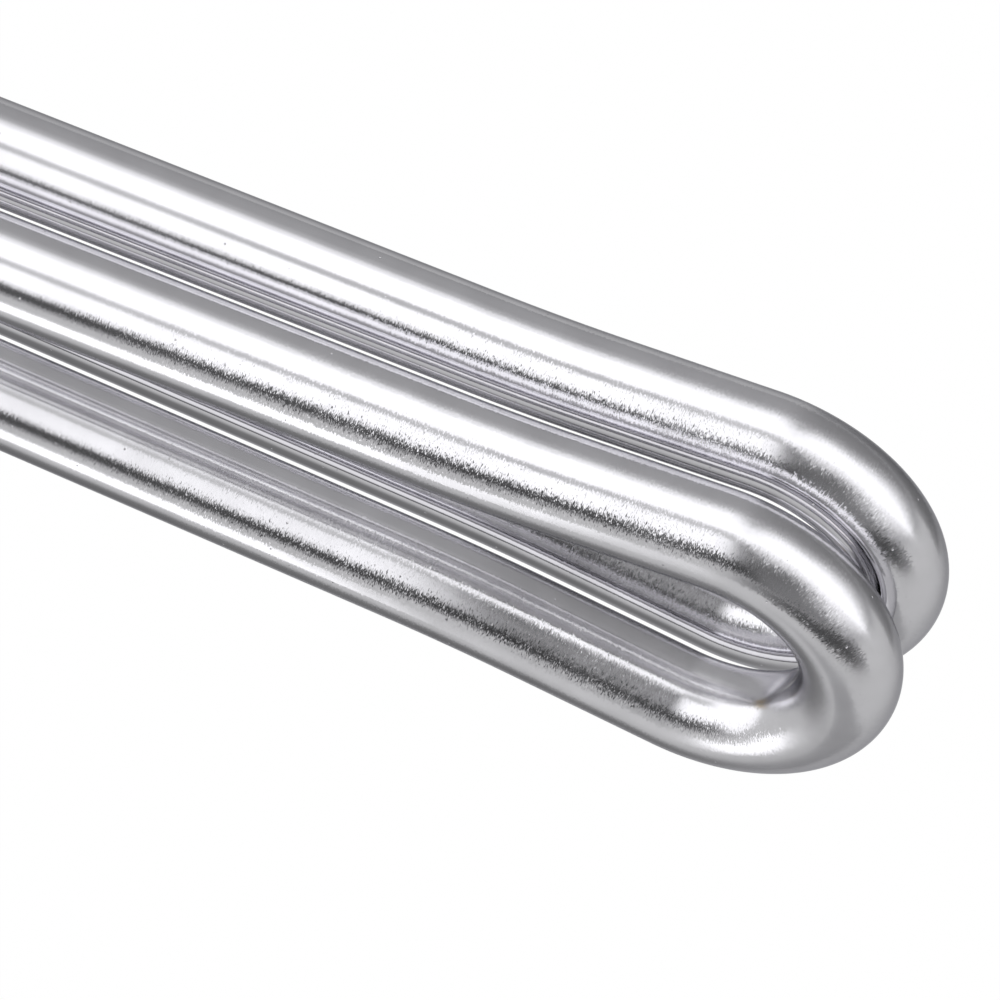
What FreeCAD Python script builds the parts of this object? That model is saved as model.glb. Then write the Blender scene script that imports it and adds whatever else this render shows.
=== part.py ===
# Screw-plug tubular heating element: two hairpin heater tubes, side by side, brazed into a hexagonal
# plug. Each tube is filled with packed magnesia round a resistance coil, and each coil end is joined
# to a cold pin that leaves the tube through a ceramic bead and carries a flat push-on tab.
#
# Millimetres. +X runs along the tubes from the plug to the bends, +Z is up, and the hairpins lie in
# planes of constant Y, the front one at -Y. The origin is on the plug's axis in the plane of the
# gasket's free face, where the plug is tightened against a wall.

import FreeCAD, Part
import math
import os
import Sketcher

# Driving dimensions: name, value, meaning
DIMENSIONS = (
    ("immersed_length", 180.0, "gasket face to the outermost point of the bends"),
    ("sheath_diameter", 8.0, "outside of the heater tube"),
    ("sheath_wall", 0.8, "wall of the heater tube"),
    ("bend_radius", 11.6, "centreline radius of the hairpin's end bend"),
    ("shoulder_angle", 6.3, "degrees that each leg leans in as it leaves the end bend"),
    ("shoulder_run", 11.8, "straight length of the leg beside the end bend"),
    ("neck_radius", 145.0, "centreline radius of the two gentle bends of each leg"),
    ("straight_run", 30.0, "gasket face to the end of the leg's parallel length"),
    ("leg_gap", 4.5, "clear gap between the two legs of a hairpin where they pass the plug"),
    ("hairpin_gap", 1.8, "clear gap between the two hairpins"),
    ("mouth_projection", 7.0, "tube ends beyond the rear of the head"),
    ("thread_diameter", 41.91, "outside of the plug's thread"),
    ("stem_length", 22.0, "shoulder to the nose of the plug"),
    ("relief_diameter", 38.4, "neck between the thread and the shoulder"),
    ("relief_width", 3.2, "length of that neck"),
    ("nose_chamfer", 1.6, "chamfer at the start of the thread"),
    ("bore_clearance", 0.05, "gap all round each tube in the plug, before brazing"),
    ("braze_leg", 0.6, "leg of the brazed fillet round each tube"),
    ("braze_throat", 0.21, "depth of that fillet at the middle of its hollow face, along each leg"),
    ("hex_across_flats", 50.0, "spanner size"),
    ("head_thickness", 12.0, "head, from the shoulder to its rear face"),
    ("washer_face_diameter", 48.4, "turned face under the head"),
    ("washer_face_height", 0.6, "height of that face"),
    ("crown_diameter", 48.8, "flat circle that the chamfer leaves on each end of the hexagon"),
    ("crown_angle", 30.0, "degrees between the hexagon's chamfer and its end face"),
    ("gasket_diameter", 48.0, "outside of the flat gasket"),
    ("gasket_thickness", 2.0, "thickness of the flat gasket"),
    ("gasket_clearance", 0.2, "gap between the gasket's hole and the thread"),
    ("seal_length", 5.0, "sealing compound in each tube mouth"),
    ("bead_diameter", 7.6, "outside of the ceramic bead"),
    ("bead_length", 6.0, "bead, outside the tube"),
    ("bead_spigot_length", 4.0, "bead, inside the tube"),
    ("bead_spigot_clearance", 0.1, "gap between the bead's spigot and the tube"),
    ("bead_bore_clearance", 0.05, "gap between the bead and the cold pin"),
    ("bead_edge", 0.7, "rounding of the bead's outer edge"),
    ("pin_diameter", 2.6, "cold pin"),
    ("pin_projection", 8.0, "cold pin beyond the bead"),
    ("pin_depth", 24.0, "gasket face to the inner end of the cold pin"),
    ("pin_chamfer", 0.3, "chamfer on the ends of the cold pin"),
    ("wire_diameter", 0.5, "resistance wire"),
    ("coil_overlap", 8.0, "length of coil wound over each cold pin"),
    ("tab_width", 6.3, "push-on tab, across"),
    ("tab_thickness", 0.8, "push-on tab, sheet"),
    ("tab_length", 8.0, "push-on tab, free length"),
    ("tab_shoulder", 1.2, "slope between the tab and its narrow root"),
    ("tab_tip", 1.0, "bevel at the tab's corners"),
    ("tab_hole", 1.7, "catch hole of the tab"),
    ("tab_hole_inset", 3.6, "catch hole from the tab's tip"),
    ("saddle_length", 5.0, "half sleeve that holds the tab on the pin"),
    ("saddle_inset", 0.6, "pin's end beyond the saddle"),
    ("earth_inset", 8.0, "earth screw from the circle that the hexagon's flats touch"),
    ("earth_diameter", 4.0, "earth screw, thread"),
    ("earth_depth", 8.0, "earth screw, length below its head"),
    ("earth_head_diameter", 7.6, "earth screw, head"),
    ("earth_head_height", 2.8, "earth screw, head"),
    ("earth_slot_width", 1.1, "earth screw, slot"),
    ("earth_slot_depth", 1.2, "earth screw, slot"),
    ("earth_head_rounding", 0.5, "earth screw, edge of the head"),
    ("earth_washer_diameter", 9.5, "washer under the earth screw"),
    ("earth_washer_thickness", 0.8, "washer under the earth screw"),
    ("earth_washer_clearance", 0.15, "gap between that washer and the screw"),
)

doc = FreeCAD.newDocument("heating_element")
sheet = doc.addObject("Spreadsheet::Sheet", "Size")
for row, (alias, value, meaning) in enumerate(DIMENSIONS, start=1):
    sheet.set(f"A{row}", meaning)
    sheet.set(f"B{row}", str(value))
    sheet.setAlias(f"B{row}", alias)
doc.recompute()

# Derived places and sizes, as expressions of the sheet
MOUTH_BORE = "(Size.sheath_diameter - 2 * Size.sheath_wall)"
COIL_DIAMETER = "(Size.pin_diameter + 2 * Size.wire_diameter)"
LEG_HEIGHT = "((Size.sheath_diameter + Size.leg_gap) / 2)"
HAIRPIN_OFFSET = "((Size.sheath_diameter + Size.hairpin_gap) / 2)"
CROWN_CENTRE = "(Size.immersed_length - Size.bend_radius - Size.sheath_diameter / 2)"
BEND_END = f"({CROWN_CENTRE} - Size.bend_radius * sin(Size.shoulder_angle))"
SHOULDER = "(-Size.gasket_thickness)"
NOSE = f"({SHOULDER} + Size.stem_length)"
REAR = f"({SHOULDER} - Size.head_thickness)"
MOUTH = f"({REAR} - Size.mouth_projection)"
SPIGOT_END = f"({MOUTH} + Size.bead_spigot_length)"
SEAL_END = f"({SPIGOT_END} + Size.seal_length)"
BEAD_END = f"({MOUTH} - Size.bead_length)"
PIN_END = f"({BEAD_END} - Size.pin_projection)"
COIL_START = "(Size.pin_depth - Size.coil_overlap)"
SADDLE_REAR = f"({PIN_END} + Size.saddle_inset)"
SADDLE_FRONT = f"({SADDLE_REAR} + Size.saddle_length)"
SADDLE_RADIUS = "(Size.pin_diameter / 2 + Size.tab_thickness)"
TAB_TIP = f"({SADDLE_REAR} - Size.tab_shoulder - Size.tab_length)"
EARTH_OFFSET = "(Size.hex_across_flats / 2 - Size.earth_inset)"

# Hairpins: name, side of the axis along Y
HAIRPINS = (("front", -1), ("back", 1))
# Legs: name, side along Y, side along Z
LEGS = tuple(
    (f"{hairpin}_{level}", side, up)
    for hairpin, side in HAIRPINS
    for level, up in (("upper", 1), ("lower", -1))
)

sub_parts = []


def number(expression):
    """Value of an expression of the sheet."""
    return float(sheet.evalExpression(str(expression)))


# Bodies and sketches

def new_body(name, along_y="0", along_z="0", turned=False):
    """An empty body, named after the piece, at a place across the plug's axis."""
    body = doc.addObject("PartDesign::Body", name)
    body.Label = name
    half_turn = FreeCAD.Rotation(FreeCAD.Vector(1, 0, 0), 180 if turned else 0)
    body.Placement = FreeCAD.Placement(FreeCAD.Vector(0, number(along_y), number(along_z)), half_turn)
    body.setExpression("Placement.Base.y", along_y)
    body.setExpression("Placement.Base.z", along_z)
    sub_parts.append(body)
    return body


def leg_body(name, side, up, turned=False):
    """An empty body on the axis of one leg where it passes the plug."""
    return new_body(name, f"{side} * {HAIRPIN_OFFSET}", f"{up} * {LEG_HEIGHT}", turned)


def new_sketch(body, name, plane, offset="0"):
    """A sketch on one of the body's own origin planes, moved off it by an expression."""
    support = next(f for f in body.Origin.OriginFeatures if f.Role == plane)
    sketch = body.newObject("Sketcher::SketchObject", f"{body.Name}_{name}")
    sketch.AttachmentSupport = [(support, "")]
    sketch.MapMode = "FlatFace"
    sketch.setExpression("AttachmentOffset.Base.z", offset)
    return sketch


def hold(sketch, kind, refs, expression):
    """Adds a dimension to a sketch, bound to an expression."""
    index = sketch.addConstraint(Sketcher.Constraint(kind, *refs, number(expression)))
    sketch.setExpression(f"Constraints[{index}]", str(expression))


def hold_point(sketch, edge, end, place):
    """Holds one end of an edge at a place given by two expressions."""
    for kind, axis, expression in (("DistanceX", -2, place[0]), ("DistanceY", -1, place[1])):
        if str(expression) == "0":
            sketch.addConstraint(Sketcher.Constraint("PointOnObject", edge, end, axis))
        else:
            hold(sketch, kind, (-1, 1, edge, end), expression)


def outline(sketch, corners):
    """A closed outline of straight edges through corners given by expressions."""
    points = [FreeCAD.Vector(number(x), number(y), 0) for x, y in corners]
    count = len(points)
    edges = [sketch.addGeometry(Part.LineSegment(points[i], points[(i + 1) % count])) for i in range(count)]
    for i, edge in enumerate(edges):
        sketch.addConstraint(Sketcher.Constraint("Coincident", edge, 2, edges[(i + 1) % count], 1))
        hold_point(sketch, edge, 1, corners[i])


def circle(sketch, diameter, centre=("0", "0")):
    """A circle whose diameter and centre are expressions."""
    middle = FreeCAD.Vector(number(centre[0]), number(centre[1]), 0)
    edge = sketch.addGeometry(Part.Circle(middle, FreeCAD.Vector(0, 0, 1), number(diameter) / 2))
    hold_point(sketch, edge, 3, centre)
    hold(sketch, "Diameter", (edge,), diameter)


# Features

def turn(body, name, corners, kind="Revolution"):
    """Turns an outline, drawn as (along, radius), about the body's X axis: adds metal or cuts it."""
    sketch = new_sketch(body, name, "XZ_Plane")
    outline(sketch, corners)
    feature = body.newObject(f"PartDesign::{kind}", f"{body.Name}_{name}_turned")
    feature.Profile = sketch
    feature.ReferenceAxis = (sketch, ["H_Axis"])
    feature.Angle = 360


def pad(body, sketch, length):
    """Raises a sketch by a length, along its own normal."""
    feature = body.newObject("PartDesign::Pad", f"{sketch.Name}_pad")
    feature.Profile = sketch
    feature.setExpression("Length", length)


def pocket(body, sketch, length):
    """Cuts a sketch into the body by a length, along the sketch's own normal."""
    feature = body.newObject("PartDesign::Pocket", f"{sketch.Name}_cut")
    feature.Profile = sketch
    feature.Reversed = True
    feature.setExpression("Length", length)


def round_rim(body, along, rim_radius, rounding):
    """Rounds the body's circular edge of one radius at one place along its axis."""
    doc.recompute()
    base = body.Tip
    for index, edge in enumerate(base.Shape.Edges, start=1):
        curve = edge.Curve
        if isinstance(curve, Part.Circle) and math.isclose(curve.Radius, number(rim_radius), abs_tol=1e-6):
            if math.isclose(curve.Center.x, number(along), abs_tol=1e-6):
                fillet = body.newObject("PartDesign::Fillet", f"{body.Name}_rim")
                fillet.Base = (base, [f"Edge{index}"])
                fillet.setExpression("Radius", rounding)
                return
    raise ValueError(f"{body.Name} has no such rim")


def leg_turning_points(start):
    """Ends of the straight and bent lengths of the upper leg, from a start on its parallel length."""
    radius = number("Size.bend_radius")
    lean = math.radians(number("Size.shoulder_angle"))
    neck = number("Size.neck_radius")
    height = number(LEG_HEIGHT)
    run = number("Size.shoulder_run")
    bend_end = FreeCAD.Vector(number(CROWN_CENTRE) - radius * math.sin(lean), radius * math.cos(lean), 0)
    run_end = bend_end - FreeCAD.Vector(math.cos(lean), math.sin(lean), 0) * run
    rear_centre = FreeCAD.Vector(number("Size.straight_run"), height + neck, 0)
    front_centre = run_end + FreeCAD.Vector(-math.sin(lean), math.cos(lean), 0) * neck
    between = front_centre - rear_centre
    taper = math.atan2(between.y, between.x)
    down = FreeCAD.Vector(math.sin(taper), -math.cos(taper), 0) * neck
    return {
        "start": FreeCAD.Vector(number(start), height, 0),
        "straight_end": FreeCAD.Vector(rear_centre.x, height, 0),
        "rear_centre": rear_centre,
        "taper_start": rear_centre + down,
        "taper_end": front_centre + down,
        "front_centre": front_centre,
        "run_end": run_end,
        "bend_end": bend_end,
        "taper": taper,
        "lean": lean,
    }


def on_leg(point, up):
    """The point on the upper leg, or its mirror image on the lower one."""
    return FreeCAD.Vector(point.x, up * point.y, 0)


def neck_arc(centre, up, leans):
    """One gentle bend of a leg, which turns it from one lean to another."""
    whole = Part.Circle(on_leg(centre, up), FreeCAD.Vector(0, 0, 1), number("Size.neck_radius"))
    ends = sorted(up * (lean - math.pi / 2) for lean in leans)
    return Part.ArcOfCircle(whole, *ends)


def hairpin_path(body, name, start):
    """The centreline of a hairpin: both legs and the end bend, as tangent lines and arcs."""
    sketch = new_sketch(body, f"{name}_path", "XZ_Plane")
    at = leg_turning_points(start)
    middle = FreeCAD.Vector(number(CROWN_CENTRE), 0, 0)
    whole = Part.Circle(middle, FreeCAD.Vector(0, 0, 1), number("Size.bend_radius"))
    sweep_end = math.pi / 2 + at["lean"]
    crown = sketch.addGeometry(Part.ArcOfCircle(whole, -sweep_end, sweep_end))
    hold_point(sketch, crown, 3, (CROWN_CENTRE, "0"))
    hold(sketch, "Radius", (crown,), "Size.bend_radius")
    lengths = (("bend_end", "run_end"), ("taper_end", "taper_start"), ("straight_end", "start"))
    for up in (1, -1):
        run, taper, straight = (
            sketch.addGeometry(Part.LineSegment(on_leg(at[first], up), on_leg(at[last], up)))
            for first, last in lengths
        )
        front = sketch.addGeometry(neck_arc(at["front_centre"], up, (at["taper"], at["lean"])))
        rear = sketch.addGeometry(neck_arc(at["rear_centre"], up, (0, at["taper"])))
        # an arc's own ends run anticlockwise, so the two legs meet them the other way about
        near, far = (2, 1) if up > 0 else (1, 2)
        for joint in (
            (crown, near, run, 1),
            (run, 2, front, near),
            (front, far, taper, 1),
            (taper, 2, rear, near),
            (rear, far, straight, 1),
        ):
            sketch.addConstraint(Sketcher.Constraint("Tangent", *joint))
        hold(sketch, "Radius", (front,), "Size.neck_radius")
        hold(sketch, "Radius", (rear,), "Size.neck_radius")
        hold(sketch, "Distance", (run,), "Size.shoulder_run")
        hold(sketch, "DistanceX", (-1, 1, crown, near), BEND_END)
        hold_point(sketch, straight, 1, ("Size.straight_run", f"{up} * {LEG_HEIGHT}"))
        hold_point(sketch, straight, 2, (start, f"{up} * {LEG_HEIGHT}"))
    return sketch


def sweep(body, name, start, diameters, kind="AdditivePipe"):
    """Sweeps one circle, or two for a tube, along the hairpin's path: adds material or cuts it."""
    path = hairpin_path(body, name, start)
    section = new_sketch(body, f"{name}_section", "YZ_Plane", start)
    for diameter in diameters:
        circle(section, diameter, ("0", LEG_HEIGHT))
    pipe = body.newObject(f"PartDesign::{kind}", f"{body.Name}_{name}_swept")
    pipe.Profile = section
    pipe.Spine = path


def hairpin_body(name, side):
    """An empty body in the plane of one hairpin."""
    return new_body(name, f"{side} * {HAIRPIN_OFFSET}")


# The screw plug

def screw_plug():
    """Hexagonal head, turned shoulder, neck and threaded stem, with four through holes for the legs."""
    body = new_body("screw_plug")
    hexagon = new_sketch(body, "hexagon", "YZ_Plane", REAR)
    corner = "(Size.hex_across_flats / 2 / cos(30))"
    half_flat = "(Size.hex_across_flats / 2)"
    half_side = "(Size.hex_across_flats / 2 * tan(30))"
    outline(hexagon, (
        (corner, "0"),
        (half_side, half_flat),
        (f"-{half_side}", half_flat),
        (f"-{corner}", "0"),
        (f"-{half_side}", f"-{half_flat}"),
        (half_side, f"-{half_flat}"),
    ))
    pad(body, hexagon, "Size.head_thickness - Size.washer_face_height")
    head_front = f"({SHOULDER} - Size.washer_face_height)"
    crown_radius = "(Size.crown_diameter / 2)"
    # the chamfers' outlines reach well past the corners
    beyond = "Size.hex_across_flats"
    slope = f"(({beyond} - {crown_radius}) * tan(Size.crown_angle))"
    turn(body, "rear_chamfer", (
        (REAR, crown_radius), (REAR, beyond), (f"{REAR} + {slope}", beyond),
    ), "Groove")
    turn(body, "front_chamfer", (
        (head_front, crown_radius), (head_front, beyond), (f"{head_front} - {slope}", beyond),
    ), "Groove")
    face = "(Size.washer_face_diameter / 2)"
    thread = "(Size.thread_diameter / 2)"
    relief = "(Size.relief_diameter / 2)"
    thread_start = f"({SHOULDER} + Size.relief_width)"
    thread_rise = f"({thread_start} + {thread} - {relief})"
    turn(body, "stem", (
        (REAR, "0"),
        (NOSE, "0"),
        (NOSE, f"{thread} - Size.nose_chamfer"),
        (f"{NOSE} - Size.nose_chamfer", thread),
        (thread_rise, thread),
        (thread_start, relief),
        (SHOULDER, relief),
        (SHOULDER, face),
        (head_front, face),
        (REAR, face),
    ))
    holes = new_sketch(body, "leg_holes", "YZ_Plane", REAR)
    for _, side, up in LEGS:
        centre = (f"{side} * {HAIRPIN_OFFSET}", f"{up} * {LEG_HEIGHT}")
        circle(holes, "Size.sheath_diameter + 2 * Size.bore_clearance", centre)
    pocket(body, holes, "Size.head_thickness + Size.stem_length")
    tapping = new_sketch(body, "earth_hole", "YZ_Plane", REAR)
    circle(tapping, "Size.earth_diameter", (EARTH_OFFSET, "0"))
    pocket(body, tapping, "Size.earth_depth - Size.earth_washer_thickness")


def gasket():
    """Flat gasket round the stem, against the shoulder."""
    hole = "(Size.thread_diameter / 2 + Size.gasket_clearance)"
    edge = "(Size.gasket_diameter / 2)"
    turn(new_body("gasket"), "ring", ((SHOULDER, hole), ("0", hole), ("0", edge), (SHOULDER, edge)))


def braze_fillet(leg, side, up):
    """Brazed fillet between one leg and the nose of the plug."""
    tube = "(Size.sheath_diameter / 2)"
    turn(leg_body(f"braze_fillet_{leg}", side, up), "ring", (
        (NOSE, tube),
        (f"{NOSE} + Size.braze_leg", tube),
        (f"{NOSE} + Size.braze_throat", f"{tube} + Size.braze_throat"),
        (NOSE, f"{tube} + Size.braze_leg"),
    ))


# The tubes and what is in them

def sheath(name, side):
    """Heater tube, one length bent to a hairpin and open at both ends."""
    sweep(hairpin_body(f"sheath_{name}", side), "tube", MOUTH, ("Size.sheath_diameter", MOUTH_BORE))


def filling(name, side):
    """Packed magnesia: fills the tube between its two seals, round the coil and the cold pins, and the
    inside of the coil, where it is a core of its own."""
    body = hairpin_body(f"magnesia_{name}", side)
    body.AllowCompound = True
    sweep(body, "bar", SEAL_END, (MOUTH_BORE,))
    sweep(body, "coil_channel", COIL_START, (COIL_DIAMETER, "Size.pin_diameter"), "SubtractivePipe")
    pin_holes = new_sketch(body, "pin_holes", "YZ_Plane", SEAL_END)
    for up in (1, -1):
        circle(pin_holes, "Size.pin_diameter", ("0", f"{up} * {LEG_HEIGHT}"))
    pocket(body, pin_holes, f"Size.pin_depth - {SEAL_END}")


def heating_coil(name, side):
    """Resistance coil, as the plain sleeve that its turns lie in, from cold pin to cold pin."""
    body = hairpin_body(f"heating_coil_{name}", side)
    sweep(body, "sleeve", COIL_START, (COIL_DIAMETER, "Size.pin_diameter"))


def end_seal(leg, side, up):
    """Sealing compound between the magnesia and the bead."""
    bore = "(Size.pin_diameter / 2)"
    wall = f"({MOUTH_BORE} / 2)"
    turn(leg_body(f"end_seal_{leg}", side, up), "plug", (
        (SPIGOT_END, bore), (SEAL_END, bore), (SEAL_END, wall), (SPIGOT_END, wall),
    ))


# The terminal end

def bead(leg, side, up):
    """Ceramic bead: a spigot in the tube mouth and a collar outside it."""
    body = leg_body(f"bead_{leg}", side, up)
    bore = "(Size.pin_diameter / 2 + Size.bead_bore_clearance)"
    spigot = f"({MOUTH_BORE} / 2 - Size.bead_spigot_clearance)"
    collar = "(Size.bead_diameter / 2)"
    turn(body, "section", (
        (SPIGOT_END, bore),
        (SPIGOT_END, spigot),
        (MOUTH, spigot),
        (MOUTH, collar),
        (BEAD_END, collar),
        (BEAD_END, bore),
    ))
    round_rim(body, BEAD_END, collar, "Size.bead_edge")


def cold_pin(leg, side, up):
    """Cold pin, from inside the coil's end to beyond the bead."""
    radius = "(Size.pin_diameter / 2)"
    turn(leg_body(f"cold_pin_{leg}", side, up), "section", (
        (PIN_END, "0"),
        ("Size.pin_depth", "0"),
        ("Size.pin_depth", f"{radius} - Size.pin_chamfer"),
        ("Size.pin_depth - Size.pin_chamfer", radius),
        (f"{PIN_END} + Size.pin_chamfer", radius),
        (PIN_END, f"{radius} - Size.pin_chamfer"),
    ))


def tab(leg, side, up):
    """Push-on tab: a flat blade on a half sleeve that is welded to the outer side of the pin."""
    body = leg_body(f"tab_{leg}", side, up, turned=side < 0)
    saddle = new_sketch(body, "saddle", "YZ_Plane", SADDLE_REAR)
    inner = saddle.addGeometry(Part.ArcOfCircle(
        Part.Circle(FreeCAD.Vector(0, 0, 0), FreeCAD.Vector(0, 0, 1), number("Size.pin_diameter / 2")),
        -math.pi / 2, math.pi / 2))
    outer = saddle.addGeometry(Part.ArcOfCircle(
        Part.Circle(FreeCAD.Vector(0, 0, 0), FreeCAD.Vector(0, 0, 1), number(SADDLE_RADIUS)),
        -math.pi / 2, math.pi / 2))
    for edge, radius in ((inner, "Size.pin_diameter / 2"), (outer, SADDLE_RADIUS)):
        saddle.addConstraint(Sketcher.Constraint("Coincident", edge, 3, -1, 1))
        saddle.addConstraint(Sketcher.Constraint("PointOnObject", edge, 1, -2))
        saddle.addConstraint(Sketcher.Constraint("PointOnObject", edge, 2, -2))
        hold(saddle, "Radius", (edge,), radius)
    for end in (1, 2):
        low = saddle.getPoint(inner, end)
        high = saddle.getPoint(outer, end)
        lip = saddle.addGeometry(Part.LineSegment(low, high))
        saddle.addConstraint(Sketcher.Constraint("Coincident", lip, 1, inner, end))
        saddle.addConstraint(Sketcher.Constraint("Coincident", lip, 2, outer, end))
    pad(body, saddle, "Size.saddle_length")
    # the blade's sheet lies flush with the outer side of the half sleeve
    blade = new_sketch(body, "blade", "XZ_Plane", f"-{SADDLE_RADIUS}")
    tongue = "(Size.pin_diameter / 4)"
    root = "(Size.pin_diameter / 2)"
    half = "(Size.tab_width / 2)"
    root_end = f"({TAB_TIP} + Size.tab_length)"
    outline(blade, (
        (SADDLE_FRONT, f"-{tongue}"),
        (SADDLE_FRONT, tongue),
        (SADDLE_REAR, root),
        (root_end, half),
        (f"{TAB_TIP} + Size.tab_tip", half),
        (TAB_TIP, f"{half} - Size.tab_tip"),
        (TAB_TIP, f"-{half} + Size.tab_tip"),
        (f"{TAB_TIP} + Size.tab_tip", f"-{half}"),
        (root_end, f"-{half}"),
        (SADDLE_REAR, f"-{root}"),
    ))
    circle(blade, "Size.tab_hole", (f"{TAB_TIP} + Size.tab_hole_inset", "0"))
    pad(body, blade, "Size.tab_thickness")


def earth_screw():
    """Slotted screw and washer on the rear of the head, for the earth wire."""
    washer_rear = f"({REAR} - Size.earth_washer_thickness)"
    hole = "(Size.earth_diameter / 2 + Size.earth_washer_clearance)"
    edge = "(Size.earth_washer_diameter / 2)"
    turn(new_body("earth_washer", EARTH_OFFSET), "ring", (
        (washer_rear, hole), (REAR, hole), (REAR, edge), (washer_rear, edge),
    ))
    body = new_body("earth_screw", EARTH_OFFSET)
    shank = "(Size.earth_diameter / 2)"
    head = "(Size.earth_head_diameter / 2)"
    head_rear = f"({washer_rear} - Size.earth_head_height)"
    turn(body, "section", (
        (head_rear, "0"),
        (f"{washer_rear} + Size.earth_depth", "0"),
        (f"{washer_rear} + Size.earth_depth", shank),
        (washer_rear, shank),
        (washer_rear, head),
        (head_rear, head),
    ))
    round_rim(body, head_rear, head, "Size.earth_head_rounding")
    slot = new_sketch(body, "slot", "YZ_Plane", head_rear)
    half_slot = "(Size.earth_slot_width / 2)"
    outline(slot, (
        (head, half_slot), (f"-{head}", half_slot), (f"-{head}", f"-{half_slot}"), (head, f"-{half_slot}"),
    ))
    pocket(body, slot, "Size.earth_slot_depth")


screw_plug()
gasket()
for name, side in HAIRPINS:
    sheath(name, side)
    filling(name, side)
    heating_coil(name, side)
for leg, side, up in LEGS:
    braze_fillet(leg, side, up)
    end_seal(leg, side, up)
    bead(leg, side, up)
    cold_pin(leg, side, up)
    tab(leg, side, up)
earth_screw()
doc.recompute()

# Nothing is written unless every object is sound
for item in doc.Objects:
    if "Invalid" in item.State or "Error" in item.State:
        raise RuntimeError(f"{item.Name}: {item.State}")
for piece in sub_parts:
    if piece.Shape.isNull() or not piece.Shape.isValid() or piece.Shape.Volume <= 0:
        raise RuntimeError(f"{piece.Label} has no sound shape")

os.makedirs("parts", exist_ok=True)
for piece in sub_parts:
    piece.Shape.exportStep(f"parts/{piece.Label}.step")
    print(f"{piece.Label:28s} {len(piece.Shape.Solids)} solid {piece.Shape.Volume:10.2f} mm3")
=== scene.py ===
# Screw-plug tubular heating element: the finish of every piece, with the two bright tubes and the
# threaded plug made afresh in fine meshes. Sizes are in millimetres unless a name says otherwise.

import math

import bmesh
import bpy
from mathutils import Matrix, Vector


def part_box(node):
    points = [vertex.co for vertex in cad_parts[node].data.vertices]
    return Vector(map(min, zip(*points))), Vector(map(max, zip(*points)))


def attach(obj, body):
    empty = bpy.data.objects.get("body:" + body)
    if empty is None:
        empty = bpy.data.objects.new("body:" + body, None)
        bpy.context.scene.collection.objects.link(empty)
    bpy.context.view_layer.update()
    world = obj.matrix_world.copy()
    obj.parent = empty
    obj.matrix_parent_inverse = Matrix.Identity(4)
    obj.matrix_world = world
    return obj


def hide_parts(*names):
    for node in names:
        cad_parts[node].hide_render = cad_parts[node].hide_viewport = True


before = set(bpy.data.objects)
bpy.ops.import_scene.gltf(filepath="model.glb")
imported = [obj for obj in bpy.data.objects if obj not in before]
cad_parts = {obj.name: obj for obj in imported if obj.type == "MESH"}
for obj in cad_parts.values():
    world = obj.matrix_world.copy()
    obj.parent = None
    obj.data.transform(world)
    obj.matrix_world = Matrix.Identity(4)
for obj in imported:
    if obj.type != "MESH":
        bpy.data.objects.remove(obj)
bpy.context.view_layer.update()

MM = 0.001
HAIRPINS = ("front", "back")
LEGS = ("front_upper", "front_lower", "back_upper", "back_lower")


def span(node, axis):
    """Lowest and highest place of a node along one axis."""
    low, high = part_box(node)
    return low[axis] / MM, high[axis] / MM


def middle(node, axis):
    """Middle of a node along one axis."""
    return sum(span(node, axis)) / 2


# Tubes, from the frame and the bends' own sizes
TUBE_RADIUS = (span("sheath_front", 1)[1] - span("sheath_front", 1)[0]) / 2
TUBE_WALL = 0.8
MOUTH, TIP = span("sheath_front", 0)
LEG_HEIGHT = middle("bead_front_upper", 2)
BEND_RADIUS = 11.6
SHOULDER_LEAN = math.radians(6.3)
SHOULDER_RUN = 11.8
NECK_RADIUS = 145.0
STRAIGHT_RUN = 30.0

# Plug
REAR, NOSE = span("screw_plug", 0)
SHOULDER = span("gasket", 0)[0]
ACROSS_FLATS = span("screw_plug", 2)[1] - span("screw_plug", 2)[0]
CROWN_RADIUS = 24.4
CROWN_SLOPE = math.tan(math.radians(30))
FACE_RADIUS = 24.2
FACE_HEIGHT = 0.6
RELIEF_RADIUS = 19.2
RELIEF_WIDTH = 3.2
THREAD_RADIUS = 20.955
THREAD_PITCH = 2.309
THREAD_DEPTH = 1.479
THREAD_ANGLE = math.radians(27.5)
THREAD_ROUNDING = 0.317
NOSE_CHAMFER = 1.6
BORE_CLEARANCE = 0.05
EARTH_RADIUS = 2.0
EARTH_HOLE_DEPTH = 7.2
BROKEN_EDGE = 0.2
HEX_CORNER = 0.5
SHARP_ABOVE = math.radians(28)
BORE_SIDES = 96
EARTH_SIDES = 64
# How far tools run past the plug, and its turned blank past the thread
TOOL_OVERRUN = 1.0
THREAD_OVERRUN = 0.3


# Materials

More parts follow.
